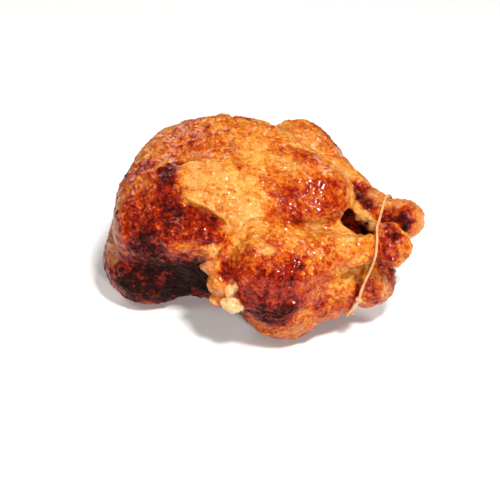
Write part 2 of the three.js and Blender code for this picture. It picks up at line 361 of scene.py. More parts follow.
def smooth_line(points, count, closed):
    """Evenly spaced points on a smooth curve through the given ones."""
    points = np.array(points, float)
    if closed:
        padded = np.concatenate([points[-1:], points, points[:2]])
    else:
        padded = np.concatenate([2 * points[:1] - points[1:2], points, 2 * points[-1:] - points[-2:-1]])
    made = []
    for a, b, c, d in zip(padded, padded[1:], padded[2:], padded[3:]):
        for t in np.linspace(0, 1, CURVE_STEPS, endpoint=False):
            made.append(0.5 * (2 * b + (c - a) * t + (2 * a - 5 * b + 4 * c - d) * t * t
                               + (3 * b - a - 3 * c + d) * t ** 3))
    made.append(points[0] if closed else points[-1])
    made = np.array(made)
    length = np.concatenate([[0], np.cumsum(np.linalg.norm(np.diff(made, axis=0), axis=1))])
    wanted = np.linspace(0, length[-1], count + 1 if closed else count)
    line = np.stack([np.interp(wanted, length, made[:, axis]) for axis in range(3)], 1)
    return line[:-1] if closed else line


def on_skin(points):
    """A smooth line through the points, brought onto the skin, in the upright frame."""
    line = smooth_line(laid(points), FOLD_POINTS, closed=False)
    return upright(move_to_level(bird, line))


# ---------- from a field to a fine skin ----------

SKIN_STEP = 1.08
GRID_MARGIN = 4
COARSE = 4
BAND = 1.6          # coarse steps from the skin inside which the field is worked out finely


def field_values(field, low, count, step):
    """The field on a grid: exact in a band about the skin, and only its sign right elsewhere."""
    coarse_count = -(-count // COARSE) + 1
    axes = [low[i] + step * COARSE * (np.arange(coarse_count[i]) + 0.5) - step / 2 for i in range(3)]
    middles = np.stack(np.meshgrid(*axes, indexing="ij"), -1).reshape(-1, 3)
    coarse = field(middles).reshape(coarse_count)
    fine = coarse
    for axis in range(3):
        fine = np.repeat(fine, COARSE, axis)
    fine = fine[:count[0], :count[1], :count[2]].copy()
    near = np.argwhere(np.abs(fine) < BAND * COARSE * step)
    fine[tuple(near.T)] = field(low + near * step)
    return fine


def skin_of(field, low, high, step):
    """Vertices and outward four-sided faces: a vertex in each grid cell that the skin crosses."""
    low = np.array(low, float)
    count = np.ceil((np.array(high) - low) / step).astype(int) + 1
    values = field_values(field, low, count, step)
    inside = values < 0
    total = np.zeros(tuple(count - 1) + (3,))
    crossings = np.zeros(tuple(count - 1))
    for axis in range(3):
        others = [i for i in range(3) if i != axis]
        start = [slice(None)] * 3
        start[axis] = slice(0, -1)
        end = [slice(None)] * 3
        end[axis] = slice(1, None)
        a, b = values[tuple(start)], values[tuple(end)]
        crossed = (a < 0) != (b < 0)
        share = np.where(crossed, a / np.where(crossed, a - b, 1), 0)
        for offset in np.ndindex(2, 2):
            at = [slice(None)] * 3
            for other, shift in zip(others, offset):
                at[other] = slice(shift, count[other] - 1 + shift)
            hit = crossed[tuple(at)]
            crossings += hit
            total[..., axis] += share[tuple(at)] * hit
            for other, shift in zip(others, offset):
                total[..., other] += shift * hit
    active = crossings > 0
    cells = np.argwhere(active)
    index = np.full(active.shape, -1)
    index[active] = np.arange(len(cells))
    points = low + step * (cells + total[active] / crossings[active][:, None])
    faces = []
    for axis in range(3):
        u, v = (axis + 1) % 3, (axis + 2) % 3
        end = [slice(None)] * 3
        end[axis] = slice(1, None)
        start = [slice(None)] * 3
        start[axis] = slice(0, -1)
        crossed = np.argwhere(inside[tuple(start)] != inside[tuple(end)])
        back_u, back_v = np.eye(3, dtype=int)[u], np.eye(3, dtype=int)[v]
        ring = [index[tuple((crossed - back).T)] for back in (back_u + back_v, back_v, 0 * back_u, back_u)]
        ring = np.stack(ring, 1)
        outward = inside[tuple(crossed.T)]
        ring[~outward] = ring[~outward][:, ::-1]
        faces.append(ring)
    return points, np.concatenate(faces)


# ---------- relief of the skin, in millimetres along its own normal ----------

# Folds and creases: points near the skin along each, its half width and its height (negative for a crease).
WING_FOLDS = [
    # the web of skin from the breast down to the wing, and the hollow under it
    dict(points=[(-21, -37, 97), (-11, -40, 95), (-4, -41, 94), (3, -42, 91), (8, -43, 88), (13, -48, 80)],
         width=1.3, height=3.0),
    dict(points=[(-20, -41, 95), (-10, -45, 92), (-2, -46, 89), (4, -47, 87), (8, -49, 84)],
         width=2.6, height=-2.6),
    # creases across the upper wing
    dict(points=[(-9, -56, 79), (-1, -57, 80), (7, -57, 81), (10, -53, 81)], width=1.0, height=-1.5),
    dict(points=[(-21, -58, 73), (-18, -58, 71), (-14, -57, 67), (-10, -55, 63), (0, -61, 70), (6, -61, 74),
                 (10, -57, 76), (12, -52, 77)], width=1.2, height=-3.2),
    dict(points=[(-18, -59, 68), (-12, -57, 63), (-2, -61, 67), (6, -63, 71)], width=1.2, height=1.0),
]
SKIN_FOLDS = [
    # folds that fan out from the corner between wing, thigh and breast
    dict(points=[(13, -46, 83), (16, -41, 88), (19, -36, 93), (27, -31, 93)], width=1.5, height=1.1),
    dict(points=[(14, -46, 82), (21, -38, 89), (31, -34, 86)], width=1.2, height=1.0),
    dict(points=[(17, -43, 84), (23, -38, 87), (30, -36, 86)], width=1.0, height=-1.0),
    dict(points=[(15, -46, 80), (19, -42, 84), (25, -39, 85), (34, -36, 84)], width=1.2, height=0.9),
    dict(points=[(15, -48, 78), (25, -49, 83), (33, -47, 84)], width=1.2, height=-1.0),
    dict(points=[(20, -52, 80), (32, -51, 84), (37, -56, 82), (42, -62, 79)], width=1.4, height=1.2),
    # the breast: a crease beside the keel, and wrinkles towards its end
    dict(points=[(13, -17, 101), (23, -10, 100), (34, -5, 100), (44, -4, 98)], width=1.0, height=-1.0),
    dict(points=[(10, -21, 102), (21, -14, 100), (33, -9, 100)], width=1.2, height=0.9),
    dict(points=[(23, -18, 99), (38, -16, 97), (48, -10, 96)], width=1.1, height=0.9),
    dict(points=[(26, -24, 97), (39, -20, 94), (50, -15, 92)], width=1.1, height=-0.9),
    dict(points=[(-40, -8, 99), (-20, -4, 103), (-2, -6, 103)], width=6.0, height=-0.9),
    # the crease that the end of the breast makes against the flap
    dict(points=[(33, -32, 88), (40, -30, 83), (49, -26, 79), (57, -22, 76), (64, -16, 72)],
         width=1.9, height=-2.8),
    dict(points=[(44, -32, 80), (54, -27, 76), (62, -22, 72)], width=1.6, height=1.0),
    # the right shoulder
    dict(points=[(-36, -31, 97), (-33, -36, 95), (-28, -39, 94), (-24, -43, 91)], width=1.3, height=1.4),
    dict(points=[(-57, -22, 88), (-47, -22, 94), (-37, -17, 98)], width=1.6, height=1.4),
    dict(points=[(-58, -32, 82), (-54, -40, 76), (-50, -48, 70), (-52, -55, 60)], width=1.8, height=1.3),
    dict(points=[(-50, -30, 90), (-46, -38, 86), (-42, -46, 80)], width=1.6, height=-1.3),
    # the drumstick against the flap, and the tail
    dict(points=[(54, -27, 76), (62, -24, 74), (70, -19, 69)], width=1.6, height=-1.0),
    dict(points=[(60, -40, 70), (68, -36, 72), (78, -30, 71)], width=1.4, height=0.8),
    dict(points=[(76, -24, 47), (79, -28, 41), (79, -33, 35), (78, -37, 28)], width=1.4, height=-3.0),
    dict(points=[(66, -40, 46), (72, -34, 46), (76, -27, 47)], width=1.3, height=2.2),
    dict(points=[(82, -22, 47), (84, -28, 40), (83, -33, 32)], width=1.2, height=2.4),
    dict(points=[(85, -20, 47), (89, -25, 41), (89, -28, 33)], width=1.0, height=-2.0),
    dict(points=[(86, -18, 47), (92, -22, 41), (93, -24, 34)], width=1.1, height=2.0),
    dict(points=[(90, -16, 46), (97, -15, 40), (98, -16, 32)], width=1.2, height=-2.2),
    dict(points=[(64, -44, 45), (70, -41, 40), (73, -39, 32)], width=1.2, height=-0.9),
    # the right knuckles
    dict(points=[(90, -23, 72), (95, -18, 75), (99, -12, 76)], width=1.1, height=-1.4),
    dict(points=[(97, -24, 71), (101, -19, 73), (104, -14, 73)], width=1.1, height=-1.6),
    dict(points=[(91, -28, 66), (97, -27, 65), (102, -25, 62)], width=1.1, height=1.0),
    dict(points=[(104, -22, 69), (106, -18, 66), (106, -15, 62)], width=1.2, height=1.2),
    # the rim of the left knuckle, and the skin along its bone
    dict(points=[(99, 12, 73), (104, 7, 71), (104, 4, 66), (102, 3, 61)], width=1.5, height=1.5),
    dict(points=[(90, 13, 72), (91, 8, 70), (91, 5, 65)], width=1.2, height=-1.3),
    dict(points=[(70, 18, 73), (80, 16, 72), (90, 13, 73)], width=1.2, height=1.0),
]


FAR_WING_SHIFT = (-9, -2, -10)


def on_far_side(place):
    """The same place on the left wing, which lies lower and nearer the neck end than the right one."""
    x, y, z = place
    return x + FAR_WING_SHIFT[0], -y + FAR_WING_SHIFT[1], z + FAR_WING_SHIFT[2]


# the left forearm, whose skin has stayed on, and the hollow on either side of it
LEFT_FOREARM = [
    dict(points=[(-14, 58, 64), (-8, 61, 58), (-3, 62, 51), (3, 62, 43), (9, 62, 40)],
         width=4.2, height=3.4),
    dict(points=[(-18, 58, 54), (-12, 60, 48), (-6, 60, 41)], width=3.0, height=-2.0),
    dict(points=[(-2, 60, 66), (6, 61, 58), (12, 62, 48)], width=3.0, height=-2.2),
]
FOLDS = WING_FOLDS + SKIN_FOLDS + LEFT_FOREARM + [
    dict(fold, points=[on_far_side(place) for place in fold["points"]]) for fold in WING_FOLDS]

LUMP_SIZE, LUMP_HEIGHT = 26, 1.2
DIMPLE_SIZE, DIMPLE_HEIGHT = 9, 0.75
CRINKLE_SIZE, CRINKLE_HEIGHT = 3.4, 0.62
BLISTER_SIZE, BLISTER_HEIGHT = 8.0, 0.8
BREAST_RISE = (62, 80)                # heights between which the trunk's side becomes its breast
FINE_CRINKLE_SHARE = 2.6 / 3          # size of the knuckles' crinkles beside the others
FOLD_WANDER = 0.35                    # how much a fold's width varies along it
FOLD_RISE = 6                         # a fold reaches its height a sixth of the way along it
SMOOTH_END = ((58, -12, 86), (15, 16, 12))      # end of the breast, drawn tight
BARE_JOINT = ((20, -71, 52), (8, 6, 6))         # the right wing's gristle
KNUCKLE_ENDS = [((99, -19, 68), (9, 9, 9)), ((99, 9, 66), (8, 9, 9))]

# Directions that the skin's wrinkles run in, in the upright frame, and how much longer than wide they are.
WRINKLE_RUNS = [(1.0, -0.25, 0.1), (0.5, 0.5, -0.7)]
WRINKLE_STRETCH = 2.6
WRINKLE_BEND = 0.9          # how far they are bent, beside their size


def crinkled(p, size, seed):
    """Narrow raised lines that run and branch like dried skin."""
    warp = np.stack([grain(p, size * 2.5, seed + k) for k in range(3)], 1)
    bent = p + warp * size * WRINKLE_BEND
    lines = []
    for k, run in enumerate(WRINKLE_RUNS):
        run = np.array(run) / np.linalg.norm(run)
        squeezed = bent - np.outer(bent @ run, run) * (1 - 1 / WRINKLE_STRETCH)
        lines.append(1 - 2.4 * np.abs(grain(squeezed, size, seed + 5 + k)))
    share = step_up(grain(p, size * 5, seed + 9), -0.35, 0.35)
    return lines[0] * share + lines[1] * (1 - share)


def trunk_share(p, softness=2.0):
    """How much each point belongs to the trunk, and not to a leg, a wing or the tail."""
    near = {name: np.exp(-np.clip(field(p), -20, 20) / softness) for name, field in BODY_PARTS.items()}
    return near["trunk"] / sum(near.values())


def fold_relief(p):
    """Height that the folds give: each wanders in width, and fades out towards its ends."""
    total = np.zeros(len(p))
    wander = 1 + FOLD_WANDER * grain(p, 7, 60)
    for fold in FOLDS:
        d, where = along(p, on_skin(fold["points"]))
        ends = np.clip(np.minimum(where, 1 - where) * FOLD_RISE, 0, 1)
        total += fold["height"] * ends * np.exp(-(d / (fold["width"] * wander)) ** 2)
    return total


def relief(p):
    """Height of the skin at each point, the blisters' share of it, and the part that folds give."""
    smooth = blob(p, *SMOOTH_END)
    bone = blob(p, *BARE_JOINT)
    ends = np.maximum(*[blob(p, *end) for end in KNUCKLE_ENDS])
    breast = trunk_share(p) * step_up(p[:, 2], *BREAST_RISE)
    blisters = step_up(spots(wandering(p, 2, 5, 22), BLISTER_SIZE, 21), 0.2, 0.9) * (0.3 + 0.7 * breast)
    blisters *= step_up(grain(p, 19, 51), -0.15, 0.5) * (1 - 0.7 * smooth)
    height = LUMP_HEIGHT * layered(p, LUMP_SIZE, 11, 2)
    height += DIMPLE_HEIGHT * layered(p, DIMPLE_SIZE, 31, 2)
    height += CRINKLE_HEIGHT * crinkled(p, CRINKLE_SIZE, 41) * (1 - 0.5 * smooth) * (1 - 0.7 * bone)
    height += CRINKLE_HEIGHT * crinkled(p, FINE_CRINKLE_SHARE * CRINKLE_SIZE, 47) * ends
    height += BLISTER_HEIGHT * blisters
    folds = fold_relief(p)
    return height + folds, blisters, folds


# ---------- how far the skin is browned, where shade is painted, and where it is pale, fatty or gristle ---

# How far the skin is browned, with painted shade given as darker levels too: 0 pale gold, 0.2 gold, 0.4
# amber, 0.56 red brown, 0.74 deep red, 1 soot, which also serves as painted shade.
BREAST_LEVEL = 0.17
LEVEL_DRIFT = 0.10          # how much it drifts over the whole skin
VENT_SHADE_LEVEL = 0.93           # painted shade inside the vent
VENT_EDGE = (0.2, 1.6)      # distances from the vent between which its painted shade fades out
FOLD_HIGHLIGHT_AND_SHADE = 0.10        # painted highlight and shade: how much paler a ridge is, and a crease darker, for each millimetre
STROKE_EDGE = [(4, 16), (1.8, 5)]       # how far the strokes' edges wander, and over what length
PATCH_EDGE = [(3, 12), (1.3, 4)]        # the same for the patches
# Each stroke: centre and radii in the upright frame, the level that it brings, and how much of it. Most
# strokes are browning; those marked below are painted shade.
ROASTING_AND_PAINTED_SHADE = [
    ((0, 0, 10), (90, 70, 30), 0.62, 1.0),        # underneath
    ((-62, 10, 45), (24, 50, 34), 0.52, 0.9),     # neck end
    ((0, 56, 52), (70, 18, 30), 0.50, 0.9),       # left side
    ((-38, 8, 96), (16, 16, 10), 0.46, 0.8),      # top of the breast, towards the neck
    ((-28, 24, 98), (14, 12, 10), 0.42, 0.6),
    ((-6, 24, 101), (12, 10, 8), 0.40, 0.6),
    ((-22, -2, 100), (10, 9, 8), 0.42, 0.6),
    ((24, 12, 100), (14, 8, 8), 0.46, 0.6),       # left breast, towards the end
    ((42, 10, 96), (14, 8, 9), 0.50, 0.7),
    ((14, -15, 102), (9, 5, 6), 0.40, 0.6),       # beside the keel
    ((30, -12, 99), (10, 6, 7), 0.46, 0.7),
    ((-8, -30, 101), (8, 6, 5), 0.36, 0.6),
    ((4, -38, 96), (8, 4, 6), 0.48, 0.7),         # above the web of skin
    ((54, -11, 92), (12, 9, 8), 0.62, 0.9),       # end of the breast
    ((62, -12, 83), (12, 11, 8), 0.61, 0.9),
    ((36, -22, 94), (12, 7, 7), 0.63, 0.9),
    ((42, -28, 86), (9, 6, 5), 0.64, 0.85),
    ((37, -30, 87), (9, 5, 4), 0.60, 0.7),
    ((56, 4, 90), (9, 8, 8), 0.38, 0.6),
    ((-2, -53, 83), (13, 8, 8), 0.67, 1.0),       # upper wing, below the web of skin
    ((-12, -49, 87), (12, 7, 7), 0.68, 1.0),
    ((4, -50, 84), (7, 4, 6), 0.65, 0.9),
    ((-48, -38, 78), (22, 20, 22), 0.56, 1.0),    # right shoulder
    ((-36, -20, 98), (6, 7, 6), 0.84, 0.95),      # burnt band from the breast down to the wing
    ((-31, -30, 97), (7, 9, 7), 0.95, 1.0),
    ((-27, -42, 91), (7, 8, 9), 0.90, 0.95),
    ((-24, -50, 84), (8, 8, 8), 0.88, 0.9),
    ((-30, -55, 76), (9, 8, 8), 0.84, 0.95),
    ((-43, -57, 68), (11, 9, 8), 0.92, 1.0),
    ((-36, -58, 64), (10, 7, 7), 0.90, 0.9),
    ((-50, -46, 74), (5, 5, 6), 0.84, 0.7),
    ((-14, -27, 102), (10, 7, 7), 0.10, 0.5),     # bright skin beside the burnt band
    ((6, -30, 99), (12, 7, 6), 0.12, 0.4),
    ((-54, -12, 92), (7, 6, 6), 0.80, 0.8),
    ((-58, -18, 86), (5, 5, 6), 0.76, 0.8),
    ((-30, -52, 38), (30, 18, 20), 1.06, 1.0),    # painted shade: the side of the back, low down, darkened to soot
    ((-10, -50, 40), (20, 12, 20), 1.10, 1.0),
    ((-42, -54, 46), (16, 12, 12), 1.0, 0.9),
    ((-52, -50, 30), (22, 18, 14), 1.0, 0.95),
    ((-64, -46, 40), (8, 10, 8), 0.72, 0.7),
    ((-60, -48, 52), (10, 10, 8), 0.62, 0.6),
    ((-20, -57, 70), (6, 4, 3), 0.34, 0.9),       # bright skin along the crease of the wing
    ((5, -59, 78), (9, 5, 3), 0.20, 0.9),
    ((-6, -58, 73), (7, 4, 3), 0.48, 0.7),
    ((44, -64, 72), (16, 12, 12), 0.70, 0.95),    # middle of the right thigh
    ((44, -68, 62), (14, 12, 12), 0.75, 0.95),
    ((30, -66, 70), (10, 9, 11), 0.65, 0.95),
    ((26, -66, 56), (12, 12, 14), 0.70, 0.9),
    ((46, -70, 48), (22, 12, 12), 0.84, 0.95),
    ((42, -50, 80), (7, 6, 5), 0.54, 0.7),
    ((50, -26, 82), (12, 4, 4), 0.52, 0.8),       # under the end of the breast
    ((62, -17, 76), (6, 5, 4), 0.56, 0.8),
    ((55, -55, 73), (8, 7, 7), 0.68, 0.85),
    ((65, -9, 84), (5, 8, 7), 0.58, 0.7),
    ((14, -63, 67), (4, 6, 8), 0.72, 1.0),        # painted shade in the gap between the forearm and the thigh
    ((60, -50, 64), (8, 8, 8), 0.54, 0.7),        # right drumstick
    ((66, -40, 70), (12, 10, 9), 0.41, 0.9),
    ((80, -27, 66), (7, 6, 6), 0.46, 0.9),
    ((98, -22, 68), (7, 6, 7), 0.58, 0.95),       # right knuckles
    ((95, -27, 62), (7, 5, 6), 0.70, 0.9),
    ((98, -15, 76), (6, 5, 3), 0.74, 0.8),
    ((94, -14, 77), (4, 4, 3), 0.92, 0.9),
    ((102, -17, 73), (3, 3, 2.5), 0.94, 0.9),
    ((94, -21, 73), (3, 3, 3), 0.50, 0.8),
    ((105, -20, 70), (3, 3, 4), 0.22, 1.0),
    ((106, -16, 68), (4, 4, 6), 0.42, 0.9),
    ((74, 16, 69), (8, 6, 5), 0.86, 1.0),         # inner side of the left drumstick
    ((66, 20, 73), (8, 5, 4), 0.66, 0.9),
    ((80, 11, 65), (6, 5, 4), 0.84, 0.9),
    ((89, 10, 69), (5, 4, 5), 0.60, 0.9),
    ((92, 6, 63), (5, 4, 5), 0.76, 0.9),
    ((99, 5, 69), (6, 4.5, 5), 0.90, 1.0),        # end of the left knuckle
    ((74, -32, 44), (9, 8, 6), 0.24, 0.9),        # left half of the tail
    ((72, -37, 38), (7, 6, 6), 0.34, 0.7),
    ((66, -44, 34), (10, 8, 7), 0.56, 0.8),
    ((79, -28, 41), (3, 5, 4), 0.80, 0.9),        # painted shade in the crease between its halves
    ((79, -33, 35), (3, 5, 6), 0.78, 0.9),
    ((88, -24, 41), (6, 6, 5), 0.42, 0.8),        # right half of the tail
    ((88, -26, 35), (7, 6, 7), 0.62, 0.95),
    ((95, -18, 35), (4, 5, 5), 0.26, 0.8),
    ((91, -14, 45), (6, 5, 3), 0.86, 0.9),
    ((99, -10, 36), (3, 4, 10), 0.88, 0.8),
    ((-40, 50, 62), (14, 10, 12), 0.70, 0.9),     # left shoulder, wing and thigh
    ((-22, 47, 77), (12, 7, 7), 0.62, 0.9),
    ((-11, 51, 73), (13, 8, 8), 0.60, 0.9),
    ((-4, 57, 68), (9, 5, 3), 0.22, 0.9),
    ((5, 60, 57), (4, 6, 8), 0.74, 0.9),
    ((34, 62, 62), (14, 12, 14), 0.64, 0.9),
    ((20, 64, 54), (12, 12, 12), 0.70, 0.8),
    ((-20, 52, 30), (34, 14, 16), 0.86, 0.9),
    ((60, -50, 44), (8, 6, 6), 0.70, 0.8),        # painted shade in the creases about the tail
    ((64, -52, 55), (8, 6, 5), 0.60, 0.7),
]
# Centre and radii, and how strong each patch is at its centre.
FATTY = [
    ((20, -38, 90), (13, 8, 7), 0.9),             # drawn skin between wing, thigh and breast
    ((14, -36, 95), (12, 6, 5), 0.8),
    ((-4, -39, 96), (16, 3.5, 4), 0.9),           # edge of the web of skin
    ((11, -46, 83), (3, 3, 5), 0.9),
    ((-12, -30, 101), (12, 9, 6), 0.75),          # right breast, beside the burnt band
    ((0, -28, 101), (10, 8, 6), 0.6),
    ((8, 6, 104), (14, 12, 6), 0.5),              # top of the breast
    ((34, -4, 100), (10, 5, 5), 0.6),
    ((5, -59, 77), (9, 4, 3), 0.9),
    ((36, -54, 83), (8, 4, 4), 0.9),              # streak across the thigh
    ((56, -23, 76), (16, 5, 5), 1.0),             # strip under the end of the breast
    ((70, -14, 68), (9, 6, 5), 1.0),
    ((70, -34, 73), (16, 5, 5), 0.6),             # right drumstick
    ((76, 3, 67), (5, 4, 6), 1.2),                # edge of the vent
    ((82, 0, 63), (4, 4, 5), 1.1),
    ((75, -27, 46), (9, 4, 3), 0.7),              # tail
    ((72, -37, 45), (6, 3, 3), 0.7),
    ((87, -20, 46), (5, 3, 3), 0.6),
]
PALE = [
    ((-68, -42, 54), (9, 14, 16), 1.0),           # left edge of the shoulder
    ((-62, -34, 78), (8, 9, 11), 0.8),
    ((-46, -28, 90), (10, 7, 6), 0.6),
    ((60, 32, 78), (24, 6, 5), 0.7),              # upper edge of the left drumstick
    ((80, 20, 70), (10, 6, 4), 1.0),
    ((94, 14, 72), (10, 4, 4), 1.0),
    ((107, 11, 64), (4, 7, 8), 1.0),              # rim of the left knuckle
    ((26, 46, 86), (26, 9, 7), 0.5),              # left thigh
    ((98, -7, 34), (3, 4, 8), 0.9),
]
TAN = [
    ((3, -65, 70), (6, 5, 6), 1.1),               # right forearm
    ((11, -73, 61), (4.5, 5, 6), 1.1),
    ((88, -29, 56), (3, 3, 3), 0.6),              # under the right ankle
]
GRISTLE = [
    ((20, -71, 61), (3.5, 4, 5), 0.9),            # the right wing's joint
    ((21, -75, 53), (6, 5, 5), 1.2),
    ((10, -75, 53), (3, 3, 3), 0.7),
]


def ragged(p, edge, seed):
    """The points moved about coarsely and then finely."""
    for k, (reach, size) in enumerate(edge):
        p = wandering(p, reach, size, seed + 100 * k)
    return p


# Browning level, with painted shade: darker strokes low on the back, in gaps and creases, and inside the
# vent.
def roasted(p):
    level = BREAST_LEVEL + LEVEL_DRIFT * layered(p, 22, 91, 2)
    brush = ragged(p, STROKE_EDGE, 201)
    for centre, radii, wanted, share in ROASTING_AND_PAINTED_SHADE:
        weight = share * np.minimum(1.5 * blob(brush, centre, radii), 1)
        level += (wanted - level) * weight
    # painted shade inside the vent
    vent_shade = 1 - step_up(VENT_SHAPE(p), *VENT_EDGE)
    return level + (VENT_SHADE_LEVEL - level) * vent_shade


def painted(p, patches, seed):
    brush = ragged(p, PATCH_EDGE, seed)
    total = np.zeros(len(p))
    for centre, radii, strength in patches:
        total = np.maximum(total, strength * blob(brush, centre, radii))
    return total


# ---------- the pieces ----------


def as_object(name, points, faces, material):
    mesh = bpy.data.meshes.new(name)
    mesh.vertices.add(len(points))
    mesh.vertices.foreach_set("co", np.ascontiguousarray(points, np.float32).ravel())
    mesh.loops.add(faces.size)
    mesh.loops.foreach_set("vertex_index", faces.ravel().astype(np.int32))
    mesh.polygons.add(len(faces))
    mesh.polygons.foreach_set("loop_start", np.arange(0, faces.size, faces.shape[1], dtype=np.int32))
    mesh.update(calc_edges=True)
    mesh.validate()
    mesh.shade_smooth()
    mesh.materials.append(material)
    made = bpy.data.objects.new(name, mesh)
    bpy.context.scene.collection.objects.link(made)
    return made


def keep(made, name, values):
    """Stores a number for each point, for the material to read."""
    made.data.attributes.new(name, "FLOAT", "POINT").data.foreach_set("value", values.astype(np.float32))


RESTING = (0.3, 3.5)        # heights above the surface between which the relief comes in
RELIEF_RANGE = 3            # how much relief, in all, the material tells apart


def roast(material):
    low = np.array(CAD_BOX[0]) / MM - GRID_MARGIN
    high = np.array(CAD_BOX[1]) / MM + GRID_MARGIN
    points, faces = skin_of(bird, low, high, SKIN_STEP)
    points = move_to_level(bird, points, rounds=2)
    own = upright(points)
    height, blisters, folds = relief(own)
    rests = 1 - step_up(points[:, 2], *RESTING)
    slope = gradient(bird, points)
    normal = slope / np.maximum(np.linalg.norm(slope, axis=1), 1e-6)[:, None]
    points = points + normal * (height * (1 - rests))[:, None]
    points[:, 2] = np.maximum(points[:, 2], 0)
    made = as_object("roast_chicken", points * MM, faces, material)
    # the level carries the folds' painted highlight on ridges and painted shade in creases
    keep(made, "roasted", roasted(own) - FOLD_HIGHLIGHT_AND_SHADE * folds)
    keep(made, "fatty", painted(own, FATTY, 103))
    keep(made, "pale", painted(own, PALE, 104))
    keep(made, "tan", painted(own, TAN, 105))
    keep(made, "gristle", painted(own, GRISTLE, 106))
    keep(made, "blistered", blisters)
    keep(made, "raised", np.clip(0.5 + height / RELIEF_RANGE, 0, 1))
    return made


# ---------- materials ----------


class Reading:
    """A value in a material, which sums can be written with."""

    def __init__(self, finish, socket):
        self.finish = finish
        self.socket = socket

    def worked(self, operation, *values, clamp=False):
        return self.finish.add("ShaderNodeMath", {"operation": operation, "use_clamp": clamp},
                               dict(enumerate(values)))

    def __add__(self, other):
        return self.worked("ADD", self, other)

    def __radd__(self, other):
        return self.worked("ADD", other, self)

    def __sub__(self, other):
        return self.worked("SUBTRACT", self, other)

    def __rsub__(self, other):
        return self.worked("SUBTRACT", other, self)

    def __mul__(self, other):
        return self.worked("MULTIPLY", self, other)

    def __rmul__(self, other):
        return self.worked("MULTIPLY", other, self)

    def from_middle(self):
        """How far the value is from a half."""
        return self.worked("ABSOLUTE", self - 0.5)

    def clipped(self):
        return self.worked("MULTIPLY", self, 1.0, clamp=True)


class Finish:
    """One material's nodes."""

    def __init__(self, name):
        self.material = bpy.data.materials.new(name)
        self.material.use_nodes = True
        self.tree = self.material.node_tree
        self.tree.nodes.clear()

    def add(self, kind, settings=None, sockets=None, output=0):
        """A node of that type: its settings are set first, then the values or links of its sockets."""
        node = self.tree.nodes.new(kind)
        for name, value in (settings or {}).items():
            if name == "stops":
                while len(node.color_ramp.elements) < len(value):
                    node.color_ramp.elements.new(0.5)
                for element, (place, colour) in zip(node.color_ramp.elements, value):
                    element.position, element.color = place, (*colour, 1)
            else:
                setattr(node, name, value)
        for name, value in (sockets or {}).items():
            if isinstance(value, Reading):
                self.tree.links.new(value.socket, node.inputs[name])
            else:
                node.inputs[name].default_value = value
        return Reading(self, node.outputs[output])

    def stored(self, name):
        return self.add("ShaderNodeAttribute", {"attribute_name": name}, output="Fac")

    def place(self):
        return self.add("ShaderNodeTexCoord", output="Object")

    def noise(self, place, scale, detail=3.0, roughness=0.55, distortion=0.0):
        return self.add("ShaderNodeTexNoise", {"noise_dimensions": "3D"}, {
            "Vector": place, "Scale": scale, "Detail": detail, "Roughness": roughness,
            "Distortion": distortion}, output="Fac")

    def between(self, value, low, high):
        """0 below low and 1 above high, with a smooth rise."""
        return self.add("ShaderNodeMapRange", {"interpolation_type": "SMOOTHSTEP"}, {
            "Value": value, "From Min": low, "From Max": high, "To Min": 0.0, "To Max": 1.0})

    def mixed(self, share, first, second):
        first = first if isinstance(first, Reading) else (*first, 1)
        second = second if isinstance(second, Reading) else (*second, 1)
        return self.add("ShaderNodeMix", {"data_type": "RGBA"}, {0: share, 6: first, 7: second}, output=2)

    def surface(self, links, constants):
        shader = self.add("ShaderNodeBsdfPrincipled", None, {**constants, **links})
        self.add_output(shader)
        return self.material

    def add_output(self, shader):
        node = self.tree.nodes.new("ShaderNodeOutputMaterial")
        self.tree.links.new(shader.socket, node.inputs["Surface"])


GOLD_LIGHT = (0.92, 0.44, 0.10)
GOLD = (0.78, 0.25, 0.022)
AMBER = (0.60, 0.10, 0.008)
RED_BROWN = (0.40, 0.022, 0.002)
DEEP_RED = (0.21, 0.006, 0.001)
MAROON = (0.075, 0.005, 0.003)
# soot colour, which also stands for painted shade low on the back and inside the vent
SOOT_AND_SHADE = (0.014, 0.003, 0.002)
FAT = (0.88, 0.33, 0.038)
CREAM = (0.94, 0.53, 0.19)
PINK_TAN = (0.66, 0.20, 0.085)
FLESH_TAN = (0.66, 0.30, 0.115)
GRISTLE_WHITE = (0.88, 0.62, 0.32)
# The darkest stops also serve for painted shade.
ROAST_COLOURS = [(0.0, GOLD_LIGHT), (0.2, GOLD), (0.4, AMBER), (0.56, RED_BROWN),
                 (0.74, DEEP_RED), (0.88, MAROON), (1.0, SOOT_AND_SHADE)]


# Lumps of noise in a metre: in colour, then in relief.
STREAK_SCALE, MOTTLE_SCALE, FLECK_SCALE = 45, 120, 420
WRINKLE_SCALE, CREASE_SCALE, PORE_SCALE = 300, 620, 1100
BURNT = (0.66, 0.92)        # levels between which the skin loses its oily coat


